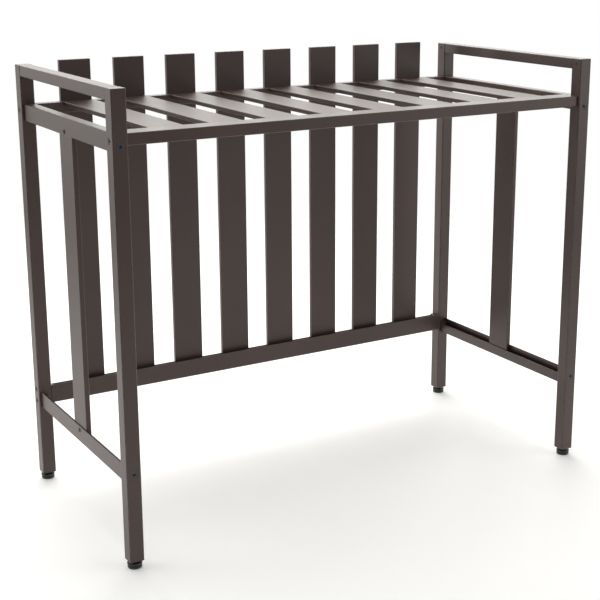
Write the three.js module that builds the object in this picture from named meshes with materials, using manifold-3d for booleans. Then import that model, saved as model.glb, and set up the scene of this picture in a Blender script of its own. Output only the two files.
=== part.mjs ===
// Luggage rack: a bolted bench of powder-coated steel tube, with a slatted shelf, a slatted back that
// guards the wall, an arm at each end and four levelling feet. Millimetres, +Z up, +X to the right,
// the front faces -Y, and the origin is on the floor under the middle of the rack.
import * as THREE from 'three';
import { mergeVertices } from 'three/addons/utils/BufferGeometryUtils.js';
import Module from 'manifold-3d';

const wasm = await Module();
wasm.setup();

// Overall sizes
const LENGTH = 832;
const DEPTH = 394;
const POST_TOP = 690;
const SHELF_TOP = 630;
const BACK_SLAT_TOP = 694;

// Stock
const POST = 22; // square tube
const WALL = 1.5;
const THIN_WALL = 1.2;
const CORNER = 1.5; // outside corner radius of all tube
const RAIL_HEIGHT = 17; // arms, and the front and back rails of the shelf
const FRONT_RAIL = { width: 34, inset: 4 }; // inset: how far inside the posts' outer faces
const BACK_RAIL = { width: 17, inset: 10.3 };
const SIDE_RAIL = { width: 17.3, outer: 26, inner: 17, inset: 4.4 }; // outer and inner wall heights
const LOW_SIDE_RAIL = { width: 11.6, outer: 26.5, inner: 17.3, inset: 4.4, bottom: 129 };
const LOW_BACK_RAIL = { front: 31, back: 26, bottom: 134 };
const ARM_INSET = 0.5;
const END_PLATE = 5; // threaded plate welded in each rail's end
const PLATE_MARGIN = 4.6; // the plate's edge to the bolt's centre line
const GAP = 0.3; // left between pieces that touch

// Slats
const SLAT_COUNT = 8;
const SLAT_PITCH = 91.9;
const SLAT_WIDTH = 52;
const SHELF_SLAT_WIDTH = 52.8;
const SHELF_SLAT_THICKNESS = 6.5;
const UPRIGHT_THICKNESS = 8; // the slats of the back and of the ends

// Fasteners: M6 countersunk, 4 mm hexagon socket
const BOLT_RADIUS = 3;
const BOLT_HOLE = 3.3;
const BOLT_HEAD_RADIUS = 5;
const BOLT_HEAD_HEIGHT = 2.2;
const BOLT_LENGTH = 30;
const HEX_ACROSS_CORNERS = 4.6;
const SHELF_BOLT_X_HEIGHT = 620; // bolts along X and along Y pass one above the other in a post
const SHELF_BOLT_Y_HEIGHT = 613;
const LOW_BACK_BOLTS = [139, 159];
const LOW_SIDE_BOLT = 146.5;

// Levelling feet: M8 stud, turned in a plug in the post's open end
const FOOT_HEIGHT = 12;
const PLUG_LENGTH = 25;
const STUD_RADIUS = 4;
const STUD_HOLE = 4.3;
const STUD_TOP = 46;
const STUD_FOOT = 3.5;
const COLLAR_RADIUS = 6.4;
const COLLAR_BOTTOM = 9.3;
const COLLAR_HEIGHT = 2.4;
const PAD_RADIUS = 11;
const PAD_TOP = 8.8;

const front = -DEPTH / 2;
const back = DEPTH / 2;
const between = LENGTH - 2 * POST - 2 * GAP; // length of the rails along X
const betweenDepth = DEPTH - 2 * POST - 2 * GAP; // length of the rails along Y
const SIDES = [['left', -1], ['right', 1]];
const ENDS = [['front', -1], ['back', 1]];

// Materials
function coat(color, roughness) {
  return new THREE.MeshStandardMaterial({ color, roughness, metalness: 0.35 });
}
const frameCoat = () => coat(0x43383a, 0.42);
const slatCoat = () => coat(0x453a3b, 0.38);
const boltFinish = () => new THREE.MeshStandardMaterial({ color: 0x2b2d33, roughness: 0.35, metalness: 0.9 });
const padPlastic = () => new THREE.MeshStandardMaterial({ color: 0x18181a, roughness: 0.6, metalness: 0 });
const studSteel = () => new THREE.MeshStandardMaterial({ color: 0x303236, roughness: 0.4, metalness: 0.9 });

// Solids
function solidOf(geometry) {
  const bare = geometry.clone();
  bare.deleteAttribute('normal');
  bare.deleteAttribute('uv');
  const merged = mergeVertices(bare, 1e-4);
  return new wasm.Manifold(new wasm.Mesh({
    numProp: 3,
    vertProperties: new Float32Array(merged.attributes.position.array),
    triVerts: new Uint32Array(merged.index.array),
  }));
}

function geometryOf(solid) {
  const mesh = solid.getMesh();
  const geometry = new THREE.BufferGeometry();
  geometry.setAttribute('position', new THREE.BufferAttribute(new Float32Array(mesh.vertProperties), 3));
  geometry.setIndex(new THREE.BufferAttribute(new Uint32Array(mesh.triVerts), 1));
  geometry.computeVertexNormals();
  return geometry;
}

// A rectangle with rounded corners, centred on x and y
function roundedRectangle(width, height, radius) {
  const x = width / 2;
  const y = height / 2;
  const shape = new THREE.Shape();
  shape.moveTo(x - radius, -y);
  shape.absarc(x - radius, -y + radius, radius, -Math.PI / 2, 0);
  shape.absarc(x - radius, y - radius, radius, 0, Math.PI / 2);
  shape.absarc(-x + radius, y - radius, radius, Math.PI / 2, Math.PI);
  shape.absarc(-x + radius, -y + radius, radius, Math.PI, Math.PI * 1.5);
  shape.closePath();
  return shape;
}

function extrude(shape, depth) {
  return new THREE.ExtrudeGeometry(shape, { depth, bevelEnabled: false, curveSegments: 2 });
}

// A box given by its lowest and highest corners
function block(low, high) {
  const size = high.map((value, i) => value - low[i]);
  const geometry = new THREE.BoxGeometry(...size);
  geometry.translate(...low.map((value, i) => value + size[i] / 2));
  return geometry;
}

// Tube of rectangular section along +Z, open at both ends
function tube(width, height, length, wall) {
  const shape = roundedRectangle(width, height, CORNER);
  shape.holes.push(roundedRectangle(width - 2 * wall, height - 2 * wall, CORNER / 3));
  return solidOf(extrude(shape, length));
}

// The same tube with a plate welded in its top end
function cappedTube(width, height, length, wall) {
  const plate = extrude(roundedRectangle(width, height, CORNER), wall);
  plate.translate(0, 0, length - wall);
  return tube(width, height, length, wall).add(solidOf(plate));
}

// A hole along a row axis, through the point given
function drill(solid, axis, point, radius, length) {
  const cylinder = new THREE.CylinderGeometry(radius, radius, length, 12);
  if (axis === 'x') cylinder.rotateZ(Math.PI / 2);
  if (axis === 'z') cylinder.rotateX(Math.PI / 2);
  cylinder.translate(...point);
  return solid.subtract(solidOf(cylinder));
}

// The cone that a bolt's head sits in. outward is the way the head faces, +1 or -1 along the axis.
function countersink(solid, axis, point, outward) {
  const depth = BOLT_HEAD_HEIGHT + 2 * GAP;
  const cone = new THREE.CylinderGeometry(BOLT_HEAD_RADIUS + 2 * GAP, BOLT_HOLE - GAP, depth, 12);
  cone.translate(0, (GAP - depth) / 2 + GAP / 2, 0);
  if (axis === 'x') cone.rotateZ(-outward * Math.PI / 2);
  if (axis === 'y' && outward < 0) cone.rotateX(Math.PI);
  cone.translate(...point);
  return solid.subtract(solidOf(cone));
}

function place(name, geometry, material, x, y, z) {
  const mesh = new THREE.Mesh(geometry, material);
  mesh.name = name;
  mesh.position.set(x, y, z);
  return mesh;
}

const rack = new THREE.Group();

// Posts: square tube, capped on top and open below, drilled for the bolts of the rails
function post(side, end) {
  const length = POST_TOP - FOOT_HEIGHT;
  let solid = cappedTube(POST, POST, length, WALL);
  const half = POST / 2;
  const boltsAlongX = end > 0 ? [SHELF_BOLT_X_HEIGHT, ...LOW_BACK_BOLTS] : [SHELF_BOLT_X_HEIGHT];
  for (const height of boltsAlongX) {
    solid = drill(solid, 'x', [0, 0, height - FOOT_HEIGHT], BOLT_HOLE, POST + 2);
    solid = countersink(solid, 'x', [side * half, 0, height - FOOT_HEIGHT], side);
  }
  for (const height of [SHELF_BOLT_Y_HEIGHT, LOW_SIDE_BOLT]) {
    solid = drill(solid, 'y', [0, 0, height - FOOT_HEIGHT], BOLT_HOLE, POST + 2);
    solid = countersink(solid, 'y', [0, end * half, height - FOOT_HEIGHT], end);
  }
  return solid;
}

const postX = LENGTH / 2 - POST / 2;
const postY = DEPTH / 2 - POST / 2;
for (const [sideName, side] of SIDES) {
  for (const [endName, end] of ENDS) {
    const geometry = geometryOf(post(side, end));
    const name = `post_${sideName}_${endName}`;
    rack.add(place(name, geometry, frameCoat(), side * postX, end * postY, FOOT_HEIGHT));
  }
}

// Arms: tube between the post tops
for (const [sideName, side] of SIDES) {
  const geometry = geometryOf(tube(POST - 2 * ARM_INSET, RAIL_HEIGHT, betweenDepth, WALL));
  geometry.rotateX(-Math.PI / 2);
  const z = POST_TOP - RAIL_HEIGHT / 2;
  rack.add(place(`arm_${sideName}`, geometry, frameCoat(), side * postX, -betweenDepth / 2, z));
}

// Shelf front and back rails: tube along X, a threaded plate closing each end. The back rail's plate
// reaches back to the post's centre line, where its bolt is.
const railZ = SHELF_TOP - RAIL_HEIGHT / 2;

function crossRail(width, y, plateLow, plateHigh, boltY) {
  const geometry = geometryOf(tube(width, RAIL_HEIGHT, between, WALL));
  // the tube's length turns from +Z to +X, its width to Y and its height to Z
  geometry.rotateZ(Math.PI / 2);
  geometry.rotateY(Math.PI / 2);
  geometry.translate(-between / 2, 0, 0);
  let solid = solidOf(geometry);
  const half = RAIL_HEIGHT / 2;
  for (const end of [-1, 1]) {
    const x = [end * between / 2, end * (between / 2 - END_PLATE)].sort((a, b) => a - b);
    solid = solid.add(solidOf(block([x[0], plateLow - y, -half], [x[1], plateHigh - y, half])));
    const point = [x[0], boltY - y, SHELF_BOLT_X_HEIGHT - railZ];
    solid = drill(solid, 'x', point, BOLT_HOLE, 4 * END_PLATE);
  }
  return geometryOf(solid);
}

const frontRailFront = front + FRONT_RAIL.inset;
const frontRailBack = frontRailFront + FRONT_RAIL.width;
const frontRailY = (frontRailFront + frontRailBack) / 2;
const frontRail = crossRail(FRONT_RAIL.width, frontRailY, frontRailFront, frontRailBack, -postY);
rack.add(place('shelf_rail_front', frontRail, frameCoat(), 0, frontRailY, railZ));

const backRailBack = back - BACK_RAIL.inset;
const backRailFront = backRailBack - BACK_RAIL.width;
const backRailY = (backRailBack + backRailFront) / 2;
const backRail = crossRail(BACK_RAIL.width, backRailY, backRailFront, back - GAP, postY);
rack.add(place('shelf_rail_back', backRail, frameCoat(), 0, backRailY, railZ));

// A folded channel along +Y, its outer wall at x = 0 and its inner wall at x = width. The web is at
// z = 0, and the walls stand up from it, or hang from it where the heights are negative.
function channel(width, outer, inner, length, wall) {
  const way = Math.sign(outer);
  const shape = new THREE.Shape();
  shape.moveTo(0, 0);
  shape.lineTo(width, 0);
  shape.lineTo(width, inner);
  shape.lineTo(width - wall, inner);
  shape.lineTo(width - wall, way * wall);
  shape.lineTo(wall, way * wall);
  shape.lineTo(wall, outer);
  shape.lineTo(0, outer);
  shape.closePath();
  const geometry = extrude(shape, length);
  geometry.rotateX(Math.PI / 2);
  geometry.translate(0, length, 0);
  return solidOf(geometry);
}

// A channel with a threaded plate welded in each end, no wider or taller than its bolt needs
function sideRail({ width, outer, inner }, boltX, boltZ) {
  let solid = channel(width, outer, inner, betweenDepth, WALL);
  const reach = boltZ + Math.sign(boltZ) * PLATE_MARGIN;
  const low = Math.min(0, reach);
  const high = Math.max(0, reach);
  const wide = Math.min(width, boltX + PLATE_MARGIN);
  for (const start of [0, betweenDepth - END_PLATE]) {
    solid = solid.add(solidOf(block([0, start, low], [wide, start + END_PLATE, high])));
    solid = drill(solid, 'y', [boltX, start, boltZ], BOLT_HOLE, 4 * END_PLATE);
  }
  return solid;
}

// A left-hand piece, and its mirror image on the right. Its outer wall stands inset from the post's face.
function placePair(name, solid, inset, z) {
  for (const [sideName, side] of SIDES) {
    const handed = side < 0 ? solid : solid.mirror([1, 0, 0]);
    const x = side * (LENGTH / 2 - inset);
    rack.add(place(`${name}_${sideName}`, geometryOf(handed), frameCoat(), x, -betweenDepth / 2, z));
  }
}

const hanging = { width: SIDE_RAIL.width, outer: -SIDE_RAIL.outer, inner: -SIDE_RAIL.inner };
const shelfSideRail = sideRail(hanging, POST / 2 - SIDE_RAIL.inset, SHELF_BOLT_Y_HEIGHT - SHELF_TOP);
placePair('shelf_rail', shelfSideRail, SIDE_RAIL.inset, SHELF_TOP);

const lowBoltX = POST / 2 - LOW_SIDE_RAIL.inset;
const lowSideRail = sideRail(LOW_SIDE_RAIL, lowBoltX, LOW_SIDE_BOLT - LOW_SIDE_RAIL.bottom);
placePair('lower_rail', lowSideRail, LOW_SIDE_RAIL.inset, LOW_SIDE_RAIL.bottom);

// Lower back rail: an open-topped channel along X as wide as the posts, its front wall the taller one
function lowerBackRail() {
  const width = POST - GAP;
  const { front: frontWall, back: backWall, bottom } = LOW_BACK_RAIL;
  const geometry = geometryOf(channel(width, frontWall, backWall, between, WALL));
  geometry.rotateZ(Math.PI / 2);
  geometry.translate(between / 2, 0, 0);
  let solid = solidOf(geometry);
  const plateTop = Math.max(...LOW_BACK_BOLTS) + PLATE_MARGIN - bottom;
  for (const end of [-1, 1]) {
    const x = [end * between / 2, end * (between / 2 - END_PLATE)].sort((a, b) => a - b);
    solid = solid.add(solidOf(block([x[0], 0, 0], [x[1], width, plateTop])));
    for (const height of LOW_BACK_BOLTS) {
      solid = drill(solid, 'x', [x[0], width - POST / 2, height - bottom], BOLT_HOLE, 4 * END_PLATE);
    }
  }
  return solid;
}
const lowBackRail = geometryOf(lowerBackRail());
rack.add(place('lower_rail_back', lowBackRail, frameCoat(), 0, back - POST + GAP, LOW_BACK_RAIL.bottom));

// Shelf slats: shallow channels, open below, flush with the rails' tops. Back slats: flat tube, standing
// in the lower back rail and passing behind the shelf's back rail. They share one pitch.
const shelfSlatStart = frontRailBack + GAP;
const shelfSlatLength = backRailFront - GAP - shelfSlatStart;
const backSlatBottom = LOW_BACK_RAIL.bottom + WALL + GAP;
const backSlatHeight = BACK_SLAT_TOP - backSlatBottom;
const backSlatY = backRailBack + GAP + UPRIGHT_THICKNESS / 2;
for (let i = 0; i < SLAT_COUNT; i += 1) {
  const x = (i - (SLAT_COUNT - 1) / 2) * SLAT_PITCH;
  const drop = -SHELF_SLAT_THICKNESS;
  const flat = geometryOf(channel(SHELF_SLAT_WIDTH, drop, drop, shelfSlatLength, THIN_WALL));
  const left = x - SHELF_SLAT_WIDTH / 2;
  rack.add(place(`shelf_slat_${i + 1}`, flat, slatCoat(), left, shelfSlatStart, SHELF_TOP));

  const upright = geometryOf(cappedTube(SLAT_WIDTH, UPRIGHT_THICKNESS, backSlatHeight, THIN_WALL));
  rack.add(place(`back_slat_${i + 1}`, upright, slatCoat(), x, backSlatY, backSlatBottom));
}

// End slats: flat tube, their feet in the lower side rails and their heads under the shelf's side rails
const endSlatBottom = LOW_SIDE_RAIL.bottom + WALL + GAP;
const endSlatTop = SHELF_TOP - WALL - GAP;
const endSlatX = LENGTH / 2 - SIDE_RAIL.inset - WALL - GAP - UPRIGHT_THICKNESS / 2;
for (const [sideName, side] of SIDES) {
  const slat = geometryOf(cappedTube(UPRIGHT_THICKNESS, SLAT_WIDTH, endSlatTop - endSlatBottom, THIN_WALL));
  rack.add(place(`end_slat_${sideName}`, slat, slatCoat(), side * endSlatX, 0, endSlatBottom));
}

// Bolt, its head's face at z = 0 and its shank along -Z
function bolt() {
  const outline = [
    [0, 0],
    [BOLT_HEAD_RADIUS, 0],
    [BOLT_RADIUS, -BOLT_HEAD_HEIGHT],
    [BOLT_RADIUS, -BOLT_LENGTH],
    [0, -BOLT_LENGTH],
  ];
  const turned = new THREE.LatheGeometry(outline.reverse().map(([r, z]) => new THREE.Vector2(r, z)), 12);
  turned.rotateX(Math.PI / 2);
  const socket = new THREE.CylinderGeometry(HEX_ACROSS_CORNERS / 2, HEX_ACROSS_CORNERS / 2, 4, 6);
  socket.rotateX(Math.PI / 2);
  return geometryOf(solidOf(turned).subtract(solidOf(socket)));
}
const boltGeometry = bolt();

function placeBolt(name, axis, outward, x, y, z) {
  const mesh = place(name, boltGeometry.clone(), boltFinish(), x, y, z);
  if (axis === 'x') mesh.rotation.y = outward * Math.PI / 2;
  if (axis === 'y') mesh.rotation.x = -outward * Math.PI / 2;
  rack.add(mesh);
}

const headSink = 0.25; // the heads sit this far below the tube's face
for (const [sideName, side] of SIDES) {
  const sideFace = side * (LENGTH / 2 - headSink);
  for (const [endName, end] of ENDS) {
    const corner = `${sideName}_${endName}`;
    const endFace = end * (DEPTH / 2 - headSink);
    placeBolt(`bolt_shelf_side_${corner}`, 'x', side, sideFace, end * postY, SHELF_BOLT_X_HEIGHT);
    placeBolt(`bolt_shelf_end_${corner}`, 'y', end, side * postX, endFace, SHELF_BOLT_Y_HEIGHT);
    placeBolt(`bolt_lower_end_${corner}`, 'y', end, side * postX, endFace, LOW_SIDE_BOLT);
  }
  placeBolt(`bolt_back_low_${sideName}`, 'x', side, sideFace, postY, LOW_BACK_BOLTS[0]);
  placeBolt(`bolt_back_high_${sideName}`, 'x', side, sideFace, postY, LOW_BACK_BOLTS[1]);
}

// Levelling feet
function plug() {
  const side = POST - 2 * WALL - 2 * GAP;
  const body = extrude(roundedRectangle(side, side, CORNER), PLUG_LENGTH);
  return geometryOf(drill(solidOf(body), 'z', [0, 0, PLUG_LENGTH / 2], STUD_HOLE, PLUG_LENGTH + 2));
}

// Stud and its hexagon collar, with z from the floor
function stud() {
  const rod = new THREE.CylinderGeometry(STUD_RADIUS, STUD_RADIUS, STUD_TOP - STUD_FOOT, 16);
  rod.rotateX(Math.PI / 2);
  rod.translate(0, 0, (STUD_TOP + STUD_FOOT) / 2);
  const collar = new THREE.CylinderGeometry(COLLAR_RADIUS, COLLAR_RADIUS, COLLAR_HEIGHT, 6);
  collar.rotateX(Math.PI / 2);
  collar.translate(0, 0, COLLAR_BOTTOM + COLLAR_HEIGHT / 2);
  return geometryOf(solidOf(rod).add(solidOf(collar)));
}

// Pad: turned plastic with a groove round it and a socket for the stud's foot
function pad() {
  const socketFloor = STUD_FOOT - GAP;
  const outline = [
    [0, 0],
    [PAD_RADIUS - 0.8, 0],
    [PAD_RADIUS, 0.8],
    [PAD_RADIUS, 4.6],
    [PAD_RADIUS - 0.9, 5],
    [PAD_RADIUS - 0.9, 5.6],
    [PAD_RADIUS - 0.3, 6],
    [PAD_RADIUS - 1.6, 7.6],
    [PAD_RADIUS - 4.2, PAD_TOP],
    [STUD_HOLE, PAD_TOP],
    [STUD_HOLE, socketFloor],
    [0, socketFloor],
  ];
  const turned = new THREE.LatheGeometry(outline.map(([r, z]) => new THREE.Vector2(r, z)), 20);
  turned.rotateX(Math.PI / 2);
  return geometryOf(solidOf(turned));
}

const plugGeometry = plug();
const studGeometry = stud();
const padGeometry = pad();
for (const [sideName, side] of SIDES) {
  for (const [endName, end] of ENDS) {
    const corner = `${sideName}_${endName}`;
    const x = side * postX;
    const y = end * postY;
    rack.add(place(`foot_plug_${corner}`, plugGeometry.clone(), padPlastic(), x, y, FOOT_HEIGHT));
    rack.add(place(`foot_stud_${corner}`, studGeometry.clone(), studSteel(), x, y, 0));
    rack.add(place(`foot_pad_${corner}`, padGeometry.clone(), padPlastic(), x, y, 0));
  }
}

export default rack;
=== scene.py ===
import math

import bmesh
import bpy
from mathutils import Matrix, Vector


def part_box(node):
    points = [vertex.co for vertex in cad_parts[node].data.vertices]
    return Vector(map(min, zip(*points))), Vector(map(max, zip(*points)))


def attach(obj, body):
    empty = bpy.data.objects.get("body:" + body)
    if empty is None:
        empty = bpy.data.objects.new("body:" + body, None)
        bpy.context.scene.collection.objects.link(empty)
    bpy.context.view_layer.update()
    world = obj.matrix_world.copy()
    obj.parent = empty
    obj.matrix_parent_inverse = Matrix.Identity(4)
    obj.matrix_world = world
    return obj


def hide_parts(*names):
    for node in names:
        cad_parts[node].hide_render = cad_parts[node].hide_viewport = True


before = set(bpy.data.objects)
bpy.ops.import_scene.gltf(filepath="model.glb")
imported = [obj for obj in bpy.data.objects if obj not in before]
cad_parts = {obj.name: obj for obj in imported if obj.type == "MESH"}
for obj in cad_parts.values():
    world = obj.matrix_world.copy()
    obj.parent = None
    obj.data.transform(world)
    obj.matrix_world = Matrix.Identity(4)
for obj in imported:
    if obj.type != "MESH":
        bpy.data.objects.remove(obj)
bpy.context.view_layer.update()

MM = 0.001


# ---- Posts -------------------------------------------------------------------------------------------
# Four square steel tubes, 22 mm across with a 1.5 mm wall. Each has a plate welded into its top and
# ground flush, countersunk holes for the bolts, and a satin bronze powder coat over everything.

class Wire:
    """An output of a node. Arithmetic on it adds Math nodes to the same tree."""

    def __init__(self, socket):
        self.socket = socket
        self.tree = socket.id_data

    def math(self, operation, first, second=0.0):
        return node(self.tree, "ShaderNodeMath", {"operation": operation}, {0: first, 1: second})

    def __add__(self, other):
        return self.math("ADD", self, other)

    def __sub__(self, other):
        return self.math("SUBTRACT", self, other)

    def __rsub__(self, other):
        return self.math("SUBTRACT", other, self)

    def __mul__(self, other):
        return self.math("MULTIPLY", self, other)

    def __truediv__(self, other):
        return self.math("DIVIDE", self, other)

    __radd__ = __add__
    __rmul__ = __mul__


def node(tree, kind, settings=None, sockets=None, out=0):
    """Adds a node of this kind, with its settings made first and its sockets then set or linked."""
    made = tree.nodes.new(kind)
    for name, value in (settings or {}).items():
        if name == "stops":
            for stop, (position, grey) in zip(made.color_ramp.elements, value):
                stop.position = position
                stop.color = (grey, grey, grey, 1)
        else:
            setattr(made, name, value)
    for key, value in (sockets or {}).items():
        if isinstance(value, Wire):
            tree.links.new(value.socket, made.inputs[key])
        else:
            made.inputs[key].default_value = value
    return Wire(made.outputs[out])


def noise(tree, place, size, detail=2.0, stretch=(1, 1, 1)):
    """Noise with blotches about this many metres across, 0.5 on average."""
    spread = node(tree, "ShaderNodeMapping", sockets={"Vector": place, "Scale": stretch})
    return node(tree, "ShaderNodeTexNoise", sockets={
        "Vector": spread, "Scale": 1 / size, "Detail": detail})


def ramp(tree, value, low, high):
    """Grey that rises from 0 at low to 1 at high."""
    return node(tree, "ShaderNodeValToRGB", {"stops": [(low, 0), (high, 1)]}, {0: value})


def mix(tree, amount, first, second):
    """A colour between two others."""
    settings = {"data_type": "RGBA", "clamp_factor": True}
    return node(tree, "ShaderNodeMix", settings, {0: amount, 6: first, 7: second}, out=2)


def new_material(name):
    material = bpy.data.materials.new(name)
    material.use_nodes = True
    tree = material.node_tree
    place = node(tree, "ShaderNodeTexCoord", out="Object")
    return material, tree, tree.nodes["Principled BSDF"], place


def connect(shader, name, wire):
    wire.tree.links.new(wire.socket, shader.inputs[name])


def shades(colour, dark, pale):
    """The darker and the paler shade of a colour that a finish varies between."""
    return (*[c * dark for c in colour], 1), (*[c * pale for c in colour], 1)


def powder_coat(name, base, thin_film_and_highlight, roughness):
    """Satin powder coat: orange peel, cloudy gloss, and along the edges a paler colour that is partly
    thinner film and partly a painted highlight.
    """
    material, tree, shader, place = new_material(name)
    cloud = noise(tree, place, 0.16, 3.0)
    fleck = noise(tree, place, 0.0016, 2.0)
    peel = noise(tree, place, 0.0021, 1.5)
    fine = noise(tree, place, 0.0005, 1.0)
    edge_wear_and_highlight = noise(tree, place, 0.009, 4.0)
    wear_and_highlight = node(tree, "ShaderNodeAttribute", {"attribute_name": "wear_and_highlight"}, out="Fac")
    tone = node(tree, "ShaderNodeAttribute", {"attribute_name": "tone"}, out="Fac")
    film = ramp(tree, cloud * 0.7 + fleck * 0.3 + tone * 0.05, 0.36, 0.64)
    body = mix(tree, film, *shades(base, 0.88, 1.1))
    # Paler colour along outward edges, broken up by noise: thinner film and a painted edge highlight
    thin_and_highlight = wear_and_highlight * ramp(tree, edge_wear_and_highlight, 0.35, 0.6)
    connect(shader, "Base Color", mix(tree, thin_and_highlight * 0.5, body, (*thin_film_and_highlight, 1)))
    connect(shader, "Roughness", roughness + (cloud - 0.5) * 0.08 + (fleck - 0.5) * 0.06 - thin_and_highlight * 0.05)
    height = peel * 0.8 + fine * 0.2
    bump = node(tree, "ShaderNodeBump", sockets={
        "Strength": 0.16, "Distance": 0.00006, "Height": height})
    connect(shader, "Normal", bump)
    shader.inputs["IOR"].default_value = 1.5
    return material


FRAME_BRONZE = (0.058, 0.034, 0.029)
# The paler edge colour: thinner film, and a painted highlight on the roundings
THIN_FILM_AND_HIGHLIGHT_BRONZE = (0.105, 0.080, 0.072)
frame_coat = powder_coat("bronze_coat_frame", FRAME_BRONZE, THIN_FILM_AND_HIGHLIGHT_BRONZE, 0.38)

GUARD = 0.25 * MM  # a line of points this close to each rounding keeps the flat beside it flat


def rounded(corners, steps=4):
    """The closed outline through corners (x, y, radius), as (x, y, wear and painted highlight) points.

    Outward roundings wear and carry a painted highlight.
    """
    turn = sum(a[0] * b[1] - b[0] * a[1] for a, b in zip(corners, corners[1:] + corners[:1]))
    points = []
    for i, (x, y, radius) in enumerate(corners):
        corner = Vector((x, y))
        before, after = corners[i - 1], corners[(i + 1) % len(corners)]
        back = Vector(before[:2]) - corner
        ahead = Vector(after[:2]) - corner
        back_guard = min(GUARD, (back.length - radius - before[2]) / 3)
        ahead_guard = min(GUARD, (ahead.length - radius - after[2]) / 3)
        back.normalize()
        ahead.normalize()
        half = back.angle(ahead) / 2
        reach = radius / math.tan(half)
        centre = corner + (back + ahead).normalized() * (radius / math.sin(half))
        outward = (-back).cross(ahead) * turn > 0
        start = (corner + back * reach - centre).normalized()
        end = (corner + ahead * reach - centre).normalized()
        sweep = start.angle(end)
        points.append((*(corner + back * (reach + back_guard)), 0.0))
        for k in range(steps + 1):
            along = k / steps
            spoke = start * math.sin((1 - along) * sweep) + end * math.sin(along * sweep)
            spoke /= math.sin(sweep)
            wear_and_highlight = float(outward) if 0 < k < steps else 0.25 * outward
            points.append((*(centre + spoke * radius), wear_and_highlight))
        points.append((*(corner + ahead * (reach + ahead_guard)), 0.0))
    return points


LEAST_RADIUS = 0.15 * MM


def rectangle(x0, y0, x1, y1, radius, inset=0.0):
    """A rectangle's outline with rounded corners, this far inside its full size."""
    radius = max(radius - inset, LEAST_RADIUS)
    return rounded([
        (x0 + inset, y0 + inset, radius),
        (x1 - inset, y0 + inset, radius),
        (x1 - inset, y1 - inset, radius),
        (x0 + inset, y1 - inset, radius),
    ])


def level(outline, z, wear_and_highlight=0.0):
    """An outline laid flat at this height as a ring for a loft, with at least this much wear and painted
    highlight.
    """
    return [((x, y, z), max(w, wear_and_highlight)) for x, y, w in outline]


def unmarked(outline, z):
    """An outline laid flat at this height, inside a piece where nothing rubs it: no wear and no painted
    highlight.
    """
    return [((x, y, z), 0) for x, y, _ in outline]


def rounded_end(start, end, radius, steps=3):
    """(inset, along, wear and painted highlight) of the rings that round a bar's end at end, on the way
    there from start.
    """
    way = math.copysign(1, end - start)
    rings = [(0.0, end - way * (radius + GUARD), 0.0)]
    for k in range(steps + 1):
        angle = math.pi / 2 * k / steps
        wear_and_highlight = 1.0 if 0 < k < steps else 0.25
        rings.append((radius * (1 - math.cos(angle)), end - way * radius * (1 - math.sin(angle)), wear_and_highlight))
    return rings


class Shell:
    """A mesh being put together from lofts, with how much wear and painted highlight each point has."""

    def __init__(self):
        self.points = []
        self.wear_and_highlight = []
        self.faces = []

    def loft(self, rings, joined=False):
        """Rings of (point, wear and painted highlight), all with as many points. The first and last are
        filled, or joined.
        """
        size = len(rings[0])
        first = len(self.points)
        for ring in rings:
            for point, wear_and_highlight in ring:
                self.points.append(point)
                self.wear_and_highlight.append(wear_and_highlight)
        pairs = len(rings) if joined else len(rings) - 1
        for r in range(pairs):
            a = first + r * size
            b = first + (r + 1) % len(rings) * size
            for i in range(size):
                j = (i + 1) % size
                self.faces.append((a + i, a + j, b + j, b + i))
        if not joined:
            self.faces.append(tuple(range(first, first + size)))
            self.faces.append(tuple(range(first + (len(rings) - 1) * size, first + len(rings) * size)))
        return self

    def mesh(self, name):
        mesh = bpy.data.meshes.new(name)
        mesh.from_pydata([tuple(p) for p in self.points], [], self.faces)
        # Per point: wear and painted edge highlight, which the materials turn paler
        wear_and_highlight = mesh.attributes.new("wear_and_highlight", "FLOAT", "POINT")
        wear_and_highlight.data.foreach_set("value", self.wear_and_highlight)
        return finished(mesh)


SHARP = math.radians(38)  # faces that meet at more than this stay crisp


def finished(mesh):
    """Faces outward, smooth across roundings and sharp at real edges."""
    work = bmesh.new()
    work.from_mesh(mesh)
    bmesh.ops.recalc_face_normals(work, faces=work.faces)
    work.to_mesh(mesh)
    work.free()
    mesh.shade_smooth()
    mesh.set_sharp_from_angle(angle=SHARP)
    return mesh


def show(name, mesh, material=None):
    """Puts a mesh in the scene as an object at the origin."""
    piece = bpy.data.objects.new(name, mesh)
    bpy.context.scene.collection.objects.link(piece)
    if material:
        mesh.materials.clear()
        mesh.materials.append(material)
    return piece


def fixed(piece, material_slot, *nodes, body="frame"):
    """This piece rides on its body and stands for these nodes of the frame."""
    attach(piece, body)
    if nodes:
        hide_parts(*nodes)
    return piece


def applied(piece):
    """The piece with its modifiers made part of a plain mesh."""
    graph = bpy.context.evaluated_depsgraph_get()
    mesh = bpy.data.meshes.new_from_object(piece.evaluated_get(graph))
    piece.modifiers.clear()
    piece.data = mesh
    return piece


def bored(piece, cutter):
    """Cuts the cutter's shape out of the piece."""
    tool = show("cutter", cutter)
    cut = piece.modifiers.new("bores", "BOOLEAN")
    cut.operation = "DIFFERENCE"
    cut.solver = "EXACT"
    cut.object = tool
    applied(piece)
    bpy.data.objects.remove(tool)
    piece.data.set_sharp_from_angle(angle=SHARP)
    return piece


def facing(direction):
    """Turns +Z to this direction."""
    return Vector(direction).to_track_quat("Z", "Y").to_matrix().to_4x4()


BOLT_RADIUS = 3 * MM
HEAD_RADIUS = 5 * MM
HEAD_HEIGHT = 2.2 * MM
CLEARANCE = 0.3 * MM
HOLE_DEPTH = 23 * MM


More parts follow.
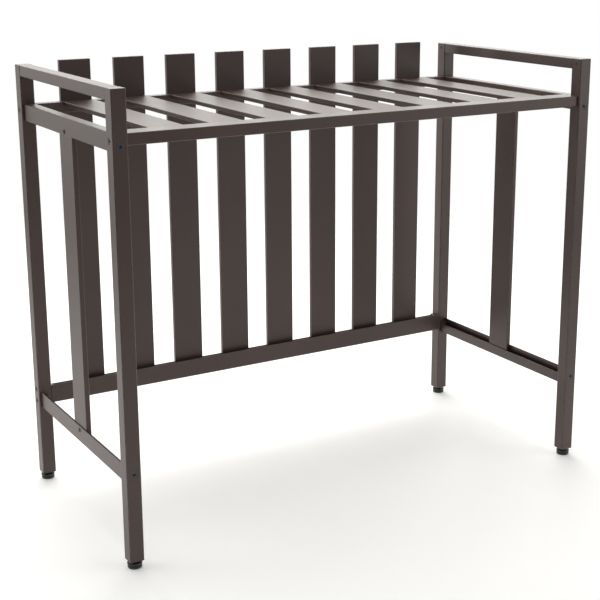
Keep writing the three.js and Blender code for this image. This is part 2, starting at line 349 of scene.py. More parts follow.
def lathe(profile, segments=32, wear_and_highlight=()):
    """Rings turned about +Z through (radius, z) points; the given indices mark the rubbed rings, which
    also carry a painted highlight.
    """
    rings = []
    for i, (radius, z) in enumerate(profile):
        angles = [2 * math.pi * k / segments for k in range(segments)]
        ring = [(radius * math.cos(a), radius * math.sin(a), z) for a in angles]
        rings.append([(point, float(i in wear_and_highlight)) for point in ring])
    return rings


def countersink(cutter, at, outward):
    """Adds to the cutter a bolt's hole, right through the post, with the cone for its head."""
    place = Matrix.Translation(at) @ facing(outward)
    profile = [
        (BOLT_RADIUS + CLEARANCE, -HOLE_DEPTH),
        (BOLT_RADIUS + CLEARANCE, -HEAD_HEIGHT - CLEARANCE),
        (HEAD_RADIUS + CLEARANCE, -CLEARANCE),
        (HEAD_RADIUS + CLEARANCE, CLEARANCE),
    ]
    cutter.loft([[(place @ Vector(point), 0) for point, _ in ring] for ring in lathe(profile)])


POST_WALL = 1.5 * MM
POST_CORNER = 1.7 * MM
BORE_CORNER = 2.2 * MM
HEAD_ROUNDING = 0.7 * MM
FOOT_CHAMFER = 0.3 * MM
FOOT_LIP = 1.3 * MM
SHELF_X_BOLT = 620 * MM
SHELF_Y_BOLT = 613 * MM
LOW_Y_BOLT = 146.5 * MM
LOW_X_BOLTS = (139 * MM, 159 * MM)
bolt_seats = []  # (where a bolt's head lies, which way it faces), gathered as the holes are made

for side, side_name in ((-1, "left"), (1, "right")):
    for end, end_name in ((-1, "front"), (1, "back")):
        node_name = f"post_{side_name}_{end_name}"
        low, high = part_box(node_name)
        section = (low.x, low.y, high.x, high.y)
        middle = (low + high) / 2
        bore = rectangle(*section, BORE_CORNER, POST_WALL)
        rings = [unmarked(bore, high.z - POST_WALL), unmarked(bore, low.z + FOOT_CHAMFER)]
        foot = [(FOOT_LIP, low.z, 0.5), (FOOT_CHAMFER, low.z, 1), (0, low.z + FOOT_CHAMFER, 0.5)]
        shaft = [(0, low.z + FOOT_CHAMFER + GUARD, 0)] + rounded_end(low.z, high.z, HEAD_ROUNDING)
        lid = [(HEAD_ROUNDING + GUARD, high.z, 0)]
        for inset, z, wear_and_highlight in foot + shaft + lid:
            rings.append(level(rectangle(*section, POST_CORNER, inset), z, wear_and_highlight))
        post = show(f"{node_name}_tube", Shell().loft(rings).mesh(node_name), frame_coat)

        x_face = high.x if side > 0 else low.x
        y_face = high.y if end > 0 else low.y
        x_holes = (SHELF_X_BOLT,) + (LOW_X_BOLTS if end > 0 else ())
        y_holes = (SHELF_Y_BOLT, LOW_Y_BOLT)
        seats = [(Vector((x_face, middle.y, z)), Vector((side, 0, 0))) for z in x_holes]
        seats += [(Vector((middle.x, y_face, z)), Vector((0, end, 0))) for z in y_holes]
        bolt_seats += seats
        cutter = Shell()
        for at, outward in seats:
            countersink(cutter, at, outward)
        fixed(bored(post, cutter.mesh("cutter")), "frame_coat", node_name)


# ---- Arms --------------------------------------------------------------------------------------------
# A flat-topped tube, 21 x 17 mm, screwed between the two posts of each end, half a millimetre inside
# their faces. Its cut ends butt against the posts and leave a fine dark seam.

def tube_rings(low, high, wall, corner, axis, soften=0.25 * MM):
    """Rings of an open-ended rectangular tube that fills the box from low to high along a row axis."""
    along = "xyz".index(axis)
    u, v = [i for i in range(3) if i != along]
    start, end = low[along], high[along]
    path = [
        (wall, end, 0), (soften, end, 1), (0, end - soften, 0.5), (0, end - soften - GUARD, 0),
        (0, start + soften + GUARD, 0), (0, start + soften, 0.5), (soften, start, 1), (wall, start, 0),
    ]
    rings = []
    for inset, position, wear_and_highlight in path:
        ring = []
        for a, b, w in rectangle(low[u], low[v], high[u], high[v], corner, inset):
            point = [0, 0, 0]
            point[u], point[v], point[along] = a, b, position
            ring.append((tuple(point), max(w, wear_and_highlight)))
        rings.append(ring)
    return rings


ARM_WALL = 1.5 * MM
ARM_CORNER = 1.5 * MM

for side_name in ("left", "right"):
    node_name = f"arm_{side_name}"
    low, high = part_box(node_name)
    shell = Shell().loft(tube_rings(low, high, ARM_WALL, ARM_CORNER, "y"), joined=True)
    fixed(show(f"{node_name}_tube", shell.mesh(node_name), frame_coat), "frame_coat", node_name)


# ---- Front and back rails of the shelf ---------------------------------------------------------------
# Rectangular tube that runs from post to post, with a tapped plate welded across each end. The wide
# front rail's rear top edge is left square, because the slats are welded to it and ground flush.

def block(shell, low, high, soften=0.3 * MM):
    """Adds a solid block with softened edges."""
    path = list(reversed(rounded_end(high.z, low.z, soften, 2))) + rounded_end(low.z, high.z, soften, 2)
    rings = []
    for inset, z, wear_and_highlight in path:
        rings.append(level(rectangle(low.x, low.y, high.x, high.y, soften * 1.5, inset), z, wear_and_highlight))
    return shell.loft(rings)


def run(shell, outline, place, start, end, soften=0.2 * MM):
    """Adds a bar of this outline, turned into place by place(x, y, along), between two positions."""
    path = [start, start + soften, start + 3 * soften, end - 3 * soften, end - soften, end]
    return shell.loft([[(place(x, y, s), w) for x, y, w in outline] for s in path])


END_PLATE = 5 * MM
PLATE_MARGIN = 4.6 * MM  # from the plate's edge to its bolt's centre line
PLATE_GAP = 0.1 * MM  # from the plate's faces to the rail's cut end
PLATE_STEP = 0.8 * MM  # from the rail's faces in to the plate's edge
RAIL_WALL = 1.5 * MM
RAIL_CORNER = 1.4 * MM
RAIL_BORE_CORNER = 0.6 * MM
BACK_RAIL_DEPTH = 17 * MM
GROUND_CORNER = 0.25 * MM  # where slats are welded on and ground flush
SLAT_SIDE_CORNER = 0.8 * MM  # where the back slats pass

for end_name in ("front", "back"):
    node_name = f"shelf_rail_{end_name}"
    low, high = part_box(node_name)
    if end_name == "front":
        rear, front_corner, rear_corner = high.y, RAIL_CORNER, GROUND_CORNER
    else:
        rear, front_corner, rear_corner = low.y + BACK_RAIL_DEPTH, SLAT_SIDE_CORNER, RAIL_CORNER
    skins = []
    for inset, corner in ((0, RAIL_CORNER), (RAIL_WALL, RAIL_BORE_CORNER)):
        skins.append(rounded([
            (low.y + inset, low.z + inset, corner),
            (rear - inset, low.z + inset, corner),
            (rear - inset, high.z - inset, corner if inset else rear_corner),
            (low.y + inset, high.z - inset, corner if inset else front_corner),
        ]))
    rings = []
    for skin, x in ((1, high.x), (0, high.x), (0, low.x), (1, low.x)):
        rings.append([((x, y, z), w) for y, z, w in skins[skin]])
    shell = Shell().loft(rings, joined=True)
    step = Vector((PLATE_GAP, PLATE_STEP, PLATE_STEP))
    for x0, x1 in ((low.x, low.x + END_PLATE), (high.x - END_PLATE, high.x)):
        block(shell, Vector((x0, low.y, low.z)) + step, Vector((x1, high.y, high.z)) - step)
    fixed(show(f"{node_name}_tube", shell.mesh(node_name), frame_coat), "frame_coat", node_name)


# ---- Side rails and lower rails ----------------------------------------------------------------------
# Channels folded from 1.5 mm sheet. The shelf's side rails hang open side down over the end slats'
# heads; the lower rails are open above, and hold the slats' feet. One wall is taller than the other.

def fold_outline(width, outer, inner, sheet, bend=1.8 * MM):
    """A folded channel's section: the outer wall at x = 0, the web at y = 0 and the walls towards +Y."""
    lip = 0.45 * sheet
    return rounded([
        (0, 0, bend),
        (width, 0, bend),
        (width, inner, lip),
        (width - sheet, inner, lip),
        (width - sheet, sheet, bend / 3),
        (sheet, sheet, bend / 3),
        (sheet, outer, lip),
        (0, outer, lip),
    ])


SHEET = 1.5 * MM
TUCKED = 0.5 * SHEET  # how far the end plates' edges lie inside the channel's faces
POST_MIDDLE = 405 * MM  # from the middle of the rack to the middle of a post
SHELF_INNER_WALL = 17 * MM
LOWER_INNER_WALL = 17.3 * MM
BACK_INNER_WALL = 26 * MM
THREAD_RIM = 0.6 * MM  # from the upper bolt's hole to the back plate's top

for side, side_name in ((-1, "left"), (1, "right")):
    for kind, inner_wall, way, bolt_z in (
            ("shelf", SHELF_INNER_WALL, -1, SHELF_Y_BOLT),
            ("lower", LOWER_INNER_WALL, 1, LOW_Y_BOLT)):
        node_name = f"{kind}_rail_{side_name}"
        low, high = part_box(node_name)
        web_z = low.z if way > 0 else high.z
        face = high.x if side > 0 else low.x
        outline = fold_outline(high.x - low.x, high.z - low.z, inner_wall, SHEET)

        def place(x, y, along):
            return (face - side * x, along, web_z + way * y)

        shell = run(Shell(), outline, place, low.y, high.y)
        z0, z1 = sorted((web_z + way * TUCKED, bolt_z + way * PLATE_MARGIN))
        inner_edge = max(min(abs(low.x), abs(high.x)) + TUCKED, POST_MIDDLE - PLATE_MARGIN)
        x0, x1 = sorted((face - side * TUCKED, side * inner_edge))
        for y0, y1 in ((low.y, low.y + END_PLATE), (high.y - END_PLATE, high.y)):
            block(shell, Vector((x0, y0 + PLATE_GAP, z0)), Vector((x1, y1 - PLATE_GAP, z1)))
        fixed(show(f"{node_name}_channel", shell.mesh(node_name), frame_coat), "frame_coat", node_name)

low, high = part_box("lower_rail_back")
outline = fold_outline(high.y - low.y, high.z - low.z, BACK_INNER_WALL, SHEET)
shell = run(Shell(), outline, lambda x, y, along: (along, low.y + x, low.z + y), low.x, high.x)
plate_top = LOW_X_BOLTS[1] + BOLT_RADIUS + THREAD_RIM
for x0, x1 in ((low.x, low.x + END_PLATE), (high.x - END_PLATE, high.x)):
    plate_low = Vector((x0 + PLATE_GAP, low.y + TUCKED, low.z + TUCKED))
    block(shell, plate_low, Vector((x1 - PLATE_GAP, high.y - TUCKED, plate_top)))
lower_back = show("lower_rail_back_channel", shell.mesh("lower_rail_back"), frame_coat)
fixed(lower_back, "frame_coat", "lower_rail_back")


# ---- Slats -------------------------------------------------------------------------------------------
# Shelf slats are shallow channels of 1.2 mm sheet, their tops level with the rails. The upright slats
# of the back and the ends are flat tube, 52 x 8 mm, with closed heads. All are coated like the frame.

SLAT_BRONZE = (0.059, 0.035, 0.030)
slat_coat = powder_coat("bronze_coat_slats", SLAT_BRONZE, THIN_FILM_AND_HIGHLIGHT_BRONZE, 0.42)


def interface(tree, inputs):
    """Gives a tree a Geometry input, these named inputs and a Geometry output."""
    tree.interface.new_socket("Geometry", in_out="INPUT", socket_type="NodeSocketGeometry")
    for name, kind in inputs.items():
        tree.interface.new_socket(name, in_out="INPUT", socket_type=kind)
    tree.interface.new_socket("Geometry", in_out="OUTPUT", socket_type="NodeSocketGeometry")
    group_in = tree.nodes.new("NodeGroupInput")
    group_out = tree.nodes.new("NodeGroupOutput")
    return {name: Wire(group_in.outputs[name]) for name in ["Geometry", *inputs]}, group_out


def grown(name, mesh, tree, **values):
    """A plain mesh piece grown from this mesh by a Geometry Nodes tree, with the tree's inputs set."""
    piece = show(name, mesh)
    growth = piece.modifiers.new("growth", "NODES")
    growth.node_group = tree
    for item in tree.interface.items_tree:
        if item.item_type == "SOCKET" and item.in_out == "INPUT" and item.name in values:
            growth[item.identifier] = values[item.name]
    applied(piece)
    piece.data.set_sharp_from_angle(angle=SHARP)
    return piece


# Sets out Count copies of one slat at Pitch, and gives each its own slight tone
slat_row = bpy.data.node_groups.new("slat_row", "GeometryNodeTree")
given, row_out = interface(slat_row, {
    "Count": "NodeSocketInt",
    "Pitch": "NodeSocketFloat",
    "Seed": "NodeSocketInt",
    "Coat": "NodeSocketMaterial",
})
offset = node(slat_row, "ShaderNodeCombineXYZ", sockets={"X": given["Pitch"]})
first_x = (given["Count"] - 1) * given["Pitch"] * -0.5
first = node(slat_row, "ShaderNodeCombineXYZ", sockets={"X": first_x})
line = node(slat_row, "GeometryNodeMeshLine", sockets={
    "Count": given["Count"], "Start Location": first, "Offset": offset})
copies = node(slat_row, "GeometryNodeInstanceOnPoints", sockets={
    "Points": line, "Instance": given["Geometry"]})
tone = node(slat_row, "FunctionNodeRandomValue", {"data_type": "FLOAT"}, {
    2: -1.0, 3: 1.0, "Seed": given["Seed"]}, out=1)
toned = node(slat_row, "GeometryNodeStoreNamedAttribute", {"data_type": "FLOAT", "domain": "INSTANCE"}, {
    "Geometry": copies, "Name": "tone", "Value": tone})
real = node(slat_row, "GeometryNodeRealizeInstances", sockets={"Geometry": toned})
coated = node(slat_row, "GeometryNodeSetMaterial", sockets={
    "Geometry": real, "Material": given["Coat"]})
slat_row.links.new(coated.socket, row_out.inputs[0])

SLATS = 8
SLAT_SHEET = 1.2 * MM
SLAT_BEND = 1.1 * MM
first_low, first_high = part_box("shelf_slat_1")
last_low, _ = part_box(f"shelf_slat_{SLATS}")
PITCH = (last_low.x - first_low.x) / (SLATS - 1)
width = first_high.x - first_low.x
drop = first_high.z - first_low.z
outline = fold_outline(width, drop, drop, SLAT_SHEET, SLAT_BEND)
front_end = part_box("shelf_rail_front")[1].y


def shelf_place(x, y, along):
    return (x - width / 2, along, first_high.z - y)


shelf_slat = run(Shell(), outline, shelf_place, front_end, first_high.y)
shelf_slats = grown("shelf_slats", shelf_slat.mesh("shelf_slat"), slat_row,
                    Count=SLATS, Pitch=PITCH, Seed=3, Coat=slat_coat)
fixed(shelf_slats, "slat_coat", *[f"shelf_slat_{i + 1}" for i in range(SLATS)])

SLAT_CORNER = 1.3 * MM
SLAT_HEAD_ROUNDING = 0.5 * MM


def flat_tube(low, high):
    """An upright flat tube, open below and closed above."""
    section = (low.x, low.y, high.x, high.y)
    bore = rectangle(*section, SLAT_CORNER + SLAT_SHEET, SLAT_SHEET)
    rings = [unmarked(bore, high.z - SLAT_SHEET), unmarked(bore, low.z)]
    head = rounded_end(low.z, high.z, SLAT_HEAD_ROUNDING)
    for inset, z, wear_and_highlight in [(0, low.z, 0)] + head + [(SLAT_HEAD_ROUNDING + GUARD, high.z, 0)]:
        rings.append(level(rectangle(*section, SLAT_CORNER, inset), z, wear_and_highlight))
    return Shell().loft(rings)


low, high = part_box("back_slat_1")
centred = Vector(((low.x + high.x) / 2, 0, 0))
back_slats = grown("back_slats", flat_tube(low - centred, high - centred).mesh("back_slat"), slat_row,
                   Count=SLATS, Pitch=PITCH, Seed=7, Coat=slat_coat)
fixed(back_slats, "slat_coat", *[f"back_slat_{i + 1}" for i in range(SLATS)])

low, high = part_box("end_slat_left")
centred = Vector(((low.x + high.x) / 2, 0, 0))
end_slats = grown("end_slats", flat_tube(low - centred, high - centred).mesh("end_slat"), slat_row,
                  Count=2, Pitch=-2 * centred.x, Seed=11, Coat=slat_coat)
fixed(end_slats, "slat_coat", "end_slat_left", "end_slat_right")


# ---- Bolts -------------------------------------------------------------------------------------------
# M6 countersunk bolts with a 4 mm hexagon socket, blackened, so their heads look faintly blue. They go
# through the posts into the rails' end plates, and their heads lie just under the posts' faces.

def blackened(name, base, edge_wear_and_highlight, roughness, metallic):
    """Blackened steel: smoky blue-black, paler at its edges, partly rubbed and partly a painted
    highlight.
    """
    material, tree, shader, place = new_material(name)
    smoke = noise(tree, place, 0.004, 3.0)
    turned = noise(tree, place, 0.0004, 1.0)
    wear_and_highlight = node(tree, "ShaderNodeAttribute", {"attribute_name": "wear_and_highlight"}, out="Fac")
    body = mix(tree, ramp(tree, smoke, 0.35, 0.65), *shades(base, 0.7, 1.25))
    # Paler colour on rims and crests: wear and a painted highlight
    connect(shader, "Base Color", mix(tree, wear_and_highlight * (smoke * 0.6 + 0.4), body, (*edge_wear_and_highlight, 1)))
    connect(shader, "Roughness", roughness + (smoke - 0.5) * 0.25 - wear_and_highlight * 0.06)
    bump = node(tree, "ShaderNodeBump", sockets={
        "Strength": 0.25, "Distance": 0.00003, "Height": turned})
    connect(shader, "Normal", bump)
    shader.inputs["Metallic"].default_value = metallic
    return material


BOLT_BLACK = (0.052, 0.056, 0.070)
# Paler colour of the bolt heads' rims: rubbed steel and a painted rim highlight
BOLT_WEAR_AND_HIGHLIGHT = (0.085, 0.088, 0.100)
bolt_black = blackened("blackened_bolt", BOLT_BLACK, BOLT_WEAR_AND_HIGHLIGHT, 0.5, 0.25)


def hexagon_ring(across_corners, z, segments=24):
    """A hexagon with as many points as a turned ring, so that one can run into the other."""
    ring = []
    apothem = across_corners / 2 * math.cos(math.pi / 6)
    for k in range(segments):
        angle = 2 * math.pi * k / segments
        radius = apothem / math.cos((angle + math.pi / 6) % (math.pi / 3) - math.pi / 6)
        ring.append(((radius * math.cos(angle), radius * math.sin(angle), z), 0.0))
    return ring


BOLT_LENGTH = 30 * MM
SOCKET = 4.7 * MM  # the hexagon's width across its corners
bolt_profile = [
    (BOLT_RADIUS * 0.6, -BOLT_LENGTH),
    (BOLT_RADIUS, -BOLT_LENGTH + 1 * MM),
    (BOLT_RADIUS, -HEAD_HEIGHT - 1 * MM),
    (BOLT_RADIUS, -HEAD_HEIGHT),
    (HEAD_RADIUS - 0.1 * MM, -0.45 * MM),
    (HEAD_RADIUS, -0.3 * MM),
    (HEAD_RADIUS - 0.1 * MM, -0.1 * MM),
    (HEAD_RADIUS - 0.5 * MM, 0),
    (HEAD_RADIUS - 0.9 * MM, 0.02 * MM),
    (HEAD_RADIUS - 2 * MM, 0),
]
rings = lathe(bolt_profile, 24, wear_and_highlight=(5, 6, 7))
for across, z in ((SOCKET + 0.5 * MM, -0.05), (SOCKET, -0.35), (SOCKET, -1.9), (SOCKET * 0.4, -2.2)):
    rings.append(hexagon_ring(across, z * MM))
bolt_mesh = Shell().loft(rings).mesh("bolt")

# Stands one fastener on each point of a plan, turned at random about its own axis
fasteners = bpy.data.node_groups.new("fasteners", "GeometryNodeTree")
given, set_out = interface(fasteners, {
    "Fastener": "NodeSocketObject",
    "Turn": "NodeSocketFloat",
    "Seed": "NodeSocketInt",
    "Finish": "NodeSocketMaterial",
})
one = node(fasteners, "GeometryNodeObjectInfo", sockets={"Object": given["Fastener"]}, out="Geometry")
axis = node(fasteners, "GeometryNodeInputNamedAttribute", {"data_type": "FLOAT_VECTOR"}, {
    "Name": "outward"})
aligned = node(fasteners, "FunctionNodeAlignRotationToVector", {"axis": "Z"}, {"Vector": axis})
angle = node(fasteners, "FunctionNodeRandomValue", {"data_type": "FLOAT"}, {
    2: 0.0, 3: given["Turn"], "Seed": given["Seed"]}, out=1)
spin = node(fasteners, "FunctionNodeAxisAngleToRotation", sockets={"Axis": (0, 0, 1), "Angle": angle})
spun = node(fasteners, "FunctionNodeRotateRotation", {"rotation_space": "LOCAL"}, {
    "Rotation": aligned, "Rotate By": spin})
stood = node(fasteners, "GeometryNodeInstanceOnPoints", sockets={
    "Points": given["Geometry"], "Instance": one, "Rotation": spun})
real = node(fasteners, "GeometryNodeRealizeInstances", sockets={"Geometry": stood})
coated = node(fasteners, "GeometryNodeSetMaterial", sockets={
    "Geometry": real, "Material": given["Finish"]})
fasteners.links.new(coated.socket, set_out.inputs[0])


def fastened(name, seats, fastener_mesh, finish, seed, turn=2 * math.pi):
    """One piece made of a fastener at each seat, (place, the way it faces)."""
    plan = bpy.data.meshes.new(name)
    plan.from_pydata([tuple(at) for at, _ in seats], [], [])
    attribute = plan.attributes.new("outward", "FLOAT_VECTOR", "POINT")
    attribute.data.foreach_set("vector", [c for _, outward in seats for c in outward])
    sample = show("sample_fastener", fastener_mesh)
    piece = grown(name, plan, fasteners, Fastener=sample, Turn=turn, Seed=seed, Finish=finish)
    bpy.data.objects.remove(sample)
    return piece


HEAD_SINK = 0.25 * MM
seats = [(at - outward * HEAD_SINK, outward) for at, outward in bolt_seats]
bolts = fastened("bolts", seats, bolt_mesh, bolt_black, 5)
fixed(bolts, "bolt_steel", *sorted(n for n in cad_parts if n.startswith("bolt_")))


# ---- Small screws ------------------------------------------------------------------------------------
# Low pan-head screws with a cross recess, painted with the frame. They hold the end slats through the
# rails' outer walls, the arms' ends at the posts, and the back slats to the shelf's back rail.

SCREW_BLACK = (0.012, 0.010, 0.010)
# Paler colour of the screw heads' rims: rubbed coat and a painted rim highlight
SCREW_WEAR_AND_HIGHLIGHT = (0.026, 0.022, 0.021)
screw_coat = blackened("coated_screw", SCREW_BLACK, SCREW_WEAR_AND_HIGHLIGHT, 0.62, 0.0)


def screw_mesh(name, radius, height):
    """A pan head standing on z = 0, its shank below, with a cross cut in it."""
    profile = [(radius * 0.3, -2.2 * height), (radius * 0.45, -2 * height), (radius * 0.45, 0),
               (radius * 0.97, 0), (radius, height * 0.2)]
    for k in range(1, 5):
        angle = math.pi / 2 * k / 5
        profile.append((radius * math.cos(angle), height * (0.2 + 0.8 * math.sin(angle))))
    profile.append((radius * 0.12, height))
    head = show(name, Shell().loft(lathe(profile, 24, wear_and_highlight=(5, 6))).mesh(name))
    cross = Shell()
    for x, y in ((0.5, 0.11), (0.11, 0.5)):
        corner = Vector((x * radius, y * radius, height * 2))
        block(cross, Vector((-corner.x, -corner.y, height * 0.35)), corner, 0.02 * radius)
    bored(head, cross.mesh("cross"))
    mesh = head.data
    bpy.data.objects.remove(head)
    return mesh


SLAT_SCREW = (3.4 * MM, 1.3 * MM)  # the head's radius and height
ARM_SCREW = (2.1 * MM, 0.7 * MM)
END_SCREW_HEIGHTS = (609 * MM, 149 * MM)
BACK_SCREW_HEIGHT = 621.5 * MM
ARM_SCREW_DROP = 8 * MM

rail_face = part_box("shelf_rail_right")[1].x
end_seats = []
for side in (-1, 1):
    for z in END_SCREW_HEIGHTS:
        end_seats.append((Vector((side * rail_face, 0, z)), Vector((side, 0, 0))))
end_screws = fastened("end_slat_screws", end_seats, screw_mesh("end_screw", *SLAT_SCREW), screw_coat, 2)
fixed(end_screws, "frame_coat")

arm_seats = []
post_low, post_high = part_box("post_right_front")
for side in (-1, 1):
    for end in (-1, 1):
        depth = end * -(post_low.y + post_high.y) / 2
        at = Vector((side * post_low.x, depth, post_high.z - ARM_SCREW_DROP))
        arm_seats.append((at, Vector((-side, 0, 0))))
arm_screws = fastened("arm_screws", arm_seats, screw_mesh("arm_screw", *ARM_SCREW), screw_coat, 4)
fixed(arm_screws, "frame_coat")

slat_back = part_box("back_slat_1")[1].y
back_seats = []
for i in range(SLATS):
    at = Vector(((i - (SLATS - 1) / 2) * PITCH, slat_back, BACK_SCREW_HEIGHT))
    back_seats.append((at, Vector((0, 1, 0))))
back_screw = screw_mesh("back_screw", *SLAT_SCREW)
back_screws = fastened("back_slat_screws", back_seats, back_screw, screw_coat, 6)
fixed(back_screws, "frame_coat")


# ---- Levelling feet ----------------------------------------------------------------------------------
# A moulded plug is pressed into each post. An M8 stud with a hexagon collar screws up into it, and a
# round nylon pad swivels on the stud's lower end and takes the load.

def moulded(name, base, roughness):
    """Moulded black nylon: fine spark-eroded grain, a few scuffs, and a paler painted highlight along
    its worn edges.
    """
    material, tree, shader, place = new_material(name)
    grain = noise(tree, place, 0.0005, 2.0)
    scuff = noise(tree, place, 0.006, 5.0, (1, 1, 0.25))
    wear_and_highlight = node(tree, "ShaderNodeAttribute", {"attribute_name": "wear_and_highlight"}, out="Fac")
    # Paler scuffs, plus a painted highlight along the worn edges
    pale = ramp(tree, scuff + wear_and_highlight * 0.12, 0.5, 0.72)
    connect(shader, "Base Color", mix(tree, pale * 0.6, (*base, 1), (*[c * 2.6 for c in base], 1)))
    connect(shader, "Roughness", roughness + (scuff - 0.5) * 0.25)
    bump = node(tree, "ShaderNodeBump", sockets={
        "Strength": 0.4, "Distance": 0.00004, "Height": grain})
    connect(shader, "Normal", bump)
    return material


BLACK_NYLON = (0.018, 0.018, 0.020)
STUD_BLACK = (0.050, 0.052, 0.060)
# Paler colour of the thread crests and collar edges: rubbed steel and a painted highlight
STUD_WEAR_AND_HIGHLIGHT = (0.220, 0.220, 0.240)
nylon = moulded("black_nylon", BLACK_NYLON, 0.42)
stud_black = blackened("blackened_stud", STUD_BLACK, STUD_WEAR_AND_HIGHLIGHT, 0.4, 0.8)

PLUG_CORNER = 1.6 * MM
PLUG_EDGE = 0.4 * MM
PLUG_BORE = 4.3 * MM
plug_low, plug_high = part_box("foot_plug_left_front")
half = (plug_high.x - plug_low.x) / 2
tall = plug_high.z - plug_low.z
rings = []
for inset, z, wear_and_highlight in (
        (0, tall, 0), (0, 3 * PLUG_EDGE, 0), (0, PLUG_EDGE, 0.5), (PLUG_EDGE, 0, 1), (half * 0.4, 0, 0)):
    outline = rectangle(-half, -half, half, half, PLUG_CORNER, inset)
    rings.append([((x, y, -z), wear_and_highlight) for x, y, _ in outline])
count = len(rings[0])
for radius, z in ((PLUG_BORE + 0.3 * MM, 0), (PLUG_BORE, PLUG_EDGE), (PLUG_BORE, tall)):
    angles = [2 * math.pi * (k + 0.5) / count - 0.75 * math.pi for k in range(count)]
    rings.append([((radius * math.cos(a), radius * math.sin(a), -z), 0) for a in angles])
plug_mesh = Shell().loft(rings, joined=True).mesh("plug")

corners = [(s, e) for s in ("left", "right") for e in ("front", "back")]
plug_seats = []
for side_name, end_name in corners:
    low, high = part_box(f"foot_plug_{side_name}_{end_name}")
    at = Vector(((low.x + high.x) / 2, (low.y + high.y) / 2, low.z))
    plug_seats.append((at, Vector((0, 0, -1))))
plugs = fastened("foot_plugs", plug_seats, plug_mesh, nylon, 1, turn=0.0)
fixed(plugs, "foot_plastic", *[f"foot_plug_{s}_{e}" for s, e in corners])

THREAD_RADIUS = 3.95 * MM
THREAD_PITCH = 1.25 * MM
THREAD_DEPTH = 0.65 * MM
THREAD_SIDES = 24
RINGS_A_TURN = 6
FOOT_GAP = 0.1 * MM  # from the pad's socket up to the stud's end
COLLAR_HEIGHT = 10.5 * MM
COLLAR_ACROSS = 12.7 * MM  # across its corners
PAD_SIDES = 48


def around(at, radius, z, count, wear_and_highlight=0.0):
    """A ring of this many points round an upright axis."""
    angles = [2 * math.pi * k / count for k in range(count)]
    return [((at.x + radius * math.cos(a), at.y + radius * math.sin(a), z), wear_and_highlight) for a in angles]


def thread_ring(at, z):
    """One level of a right-hand thread, worn along its crest and given a painted highlight there."""
    ring = []
    for k in range(THREAD_SIDES):
        phase = (z / THREAD_PITCH - k / THREAD_SIDES) % 1.0
        crest = abs(2 * phase - 1)
        radius = THREAD_RADIUS - THREAD_DEPTH * (1 - crest)
        angle = 2 * math.pi * k / THREAD_SIDES
        point = (at.x + radius * math.cos(angle), at.y + radius * math.sin(angle), z)
        ring.append((point, crest ** 3))
    return ring


def stud_shell(at, foot_z, collar_z, top_z):
    """A threaded stud with its plain foot and hexagon collar."""
    def plain(inset, z):
        return around(at, THREAD_RADIUS - inset, z, THREAD_SIDES)

    start = collar_z + 0.8 * MM
    rings = [plain(0.45 * MM, foot_z), plain(0, foot_z + 0.5 * MM), plain(0, start)]
    steps = int((top_z - 1.5 * MM - start) / (THREAD_PITCH / RINGS_A_TURN))
    rings += [thread_ring(at, start + i * THREAD_PITCH / RINGS_A_TURN) for i in range(1, steps)]
    rings += [plain(THREAD_DEPTH - 0.05 * MM, top_z - 0.6 * MM), plain(1.15 * MM, top_z)]
    collar = []
    for scale, z, wear_and_highlight in ((0.9, -1.2, 0.5), (1, -0.9, 1), (1, 0.9, 1), (0.9, 1.2, 0.5)):
        rim = hexagon_ring(COLLAR_ACROSS * scale, collar_z + z * MM)
        collar.append([((at.x + p[1], at.y + p[0], p[2]), wear_and_highlight) for p, _ in rim])
    return Shell().loft(rings).loft(collar)


def pad_shell(at, low_z, high_z):
    """A turned pad: two rounded discs with a groove between them, and a socket for the stud."""
    top = (high_z - low_z) / MM
    profile = [  # radius and height in millimetres, and wear with its painted highlight
        (4.25, 3.3, 0), (4.25, top - 0.3, 0), (4.6, top, 1),
        (9.4, top, 0), (10.3, top - 0.2, 1), (10.9, top - 0.8, 1), (11, top - 1.4, 0),
        (11, 5.9, 0), (10.8, 5.5, 1), (9.5, 5.2, 0), (9.4, 4.5, 0), (10.2, 4.2, 0),
        (10.55, 3.8, 1), (10.6, 3.3, 0), (10.6, 1.2, 0), (10.4, 0.6, 1),
        (9.8, 0.1, 1), (9.4, 0, 0), (8.4, 0, 0), (8.2, 0.35, 0), (3, 0.35, 0),
    ]
    return Shell().loft([
        around(at, radius * MM, low_z + z * MM, PAD_SIDES, float(wear_and_highlight)) for radius, z, wear_and_highlight in profile])


for side_name, end_name in corners:
    corner = f"{side_name}_{end_name}"
    low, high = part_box(f"foot_stud_{corner}")
    stud = stud_shell((low + high) / 2, low.z + FOOT_GAP, COLLAR_HEIGHT, high.z).mesh(f"stud_{corner}")
    stud = show(f"stud_{corner}_threaded", stud, stud_black)
    fixed(stud, "stud_steel", f"foot_stud_{corner}", body=f"stud_{corner}")
    low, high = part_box(f"foot_pad_{corner}")
    pad = pad_shell((low + high) / 2, low.z, high.z).mesh(f"pad_{corner}")
    pad = show(f"pad_{corner}_turned", pad, nylon)
    fixed(pad, "foot_plastic", f"foot_pad_{corner}", body=f"pad_{corner}")


# ---- Studio ------------------------------------------------------------------------------------------
# A round pale floor that fades out into a white room, under six soft panels of slightly warm light:
# left, back, back right, front right, overhead and high at the back. The camera doesn't see the panels.

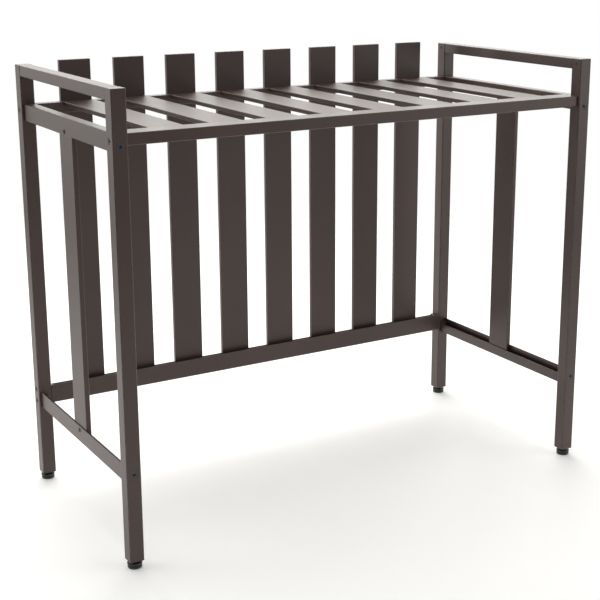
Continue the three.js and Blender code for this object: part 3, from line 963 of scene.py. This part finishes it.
FLOOR_RADIUS = 2.4
FLOOR_SIDES = 96
FLOOR_GLOW = 0.18
angles = [2 * math.pi * k / FLOOR_SIDES for k in range(FLOOR_SIDES)]
rim = [(FLOOR_RADIUS * math.cos(a), FLOOR_RADIUS * math.sin(a), 0) for a in angles]
floor_mesh = bpy.data.meshes.new("floor")
floor_mesh.from_pydata(rim, [], [tuple(range(FLOOR_SIDES))])
floor_material, tree, shader, place = new_material("pale_floor")
dust = noise(tree, place, 0.5, 3.0)
connect(shader, "Base Color", mix(tree, dust, (0.93, 0.93, 0.93, 1), (0.96, 0.96, 0.96, 1)))
distance = node(tree, "ShaderNodeVectorMath", {"operation": "LENGTH"}, {0: place}, out="Value")
connect(shader, "Alpha", ramp(tree, (FLOOR_RADIUS - distance) / FLOOR_RADIUS, 0.05, 0.6))
shader.inputs["Roughness"].default_value = 0.9
shader.inputs["Emission Color"].default_value = (1, 1, 1, 1)
shader.inputs["Emission Strength"].default_value = FLOOR_GLOW
show("floor", floor_mesh, floor_material)

world = bpy.data.worlds.new("studio")
world.use_nodes = True
bpy.context.scene.world = world
tree = world.node_tree
tree.nodes.clear()
ROOM_LIGHT = 0.26  # what the rack gets of the white that the camera sees
seen = node(tree, "ShaderNodeLightPath", out="Is Camera Ray")
strength = ROOM_LIGHT + seen * (1.0 - ROOM_LIGHT)
background = node(tree, "ShaderNodeBackground", sockets={"Color": (1, 1, 1, 1), "Strength": strength})
world_out = tree.nodes.new("ShaderNodeOutputWorld")
tree.links.new(background.socket, world_out.inputs["Surface"])

PANEL_WARMTH = (1, 0.99, 0.95)


def panel(name, at, target, width, height, radiance):
    """A soft light panel of this brightness, which the camera doesn't see."""
    light = bpy.data.lights.new(name, "AREA")
    light.shape = "RECTANGLE"
    light.size = width
    light.size_y = height
    light.energy = radiance * math.pi * width * height
    light.color = PANEL_WARMTH
    lamp = bpy.data.objects.new(name, light)
    lamp.location = at
    lamp.rotation_mode = "QUATERNION"
    lamp.rotation_quaternion = (Vector(target) - Vector(at)).to_track_quat("-Z", "Y")
    lamp.visible_camera = False
    bpy.context.scene.collection.objects.link(lamp)


panel("left_panel", (-3.0, 2.2, 0.9), (0, 0, 0.4), 3.2, 2.4, 2.15)
panel("back_panel", (0.6, 4.5, 1.2), (0, 0, 0.6), 4.4, 3.0, 1.3)
panel("back_right_panel", (4.2, 3.2, 1.2), (0, 0, 0.6), 3.0, 2.6, 2.2)
panel("front_right_panel", (2.9, -2.6, 1.2), (0, 0, 0.4), 2.6, 2.6, 1.9)
panel("overhead_panel", (-0.3, 0.4, 3.2), (0, 0, 0), 2.6, 2.6, 2.3)
panel("high_back_panel", (1.2, 3.4, 3.4), (0, 0, 0.6), 4.4, 2.4, 4.8)

camera_data = bpy.data.cameras.new("camera")
camera = bpy.data.objects.new("camera", camera_data)
bpy.context.scene.collection.objects.link(camera)
camera_data.sensor_width = 36
camera_data.lens = 76.746
camera_data.shift_x = -0.05
camera_data.shift_y = -0.05
camera.location = (-1.038, -1.7709, 0.8796)
heading = math.radians(31.286)
tilt = math.radians(-14.543)
across = math.cos(tilt)
look = Vector((math.sin(heading) * across, math.cos(heading) * across, math.sin(tilt)))
camera.rotation_mode = "QUATERNION"
camera.rotation_quaternion = look.to_track_quat("-Z", "Y")
bpy.context.scene.camera = camera
bpy.context.scene.view_settings.view_transform = "Standard"
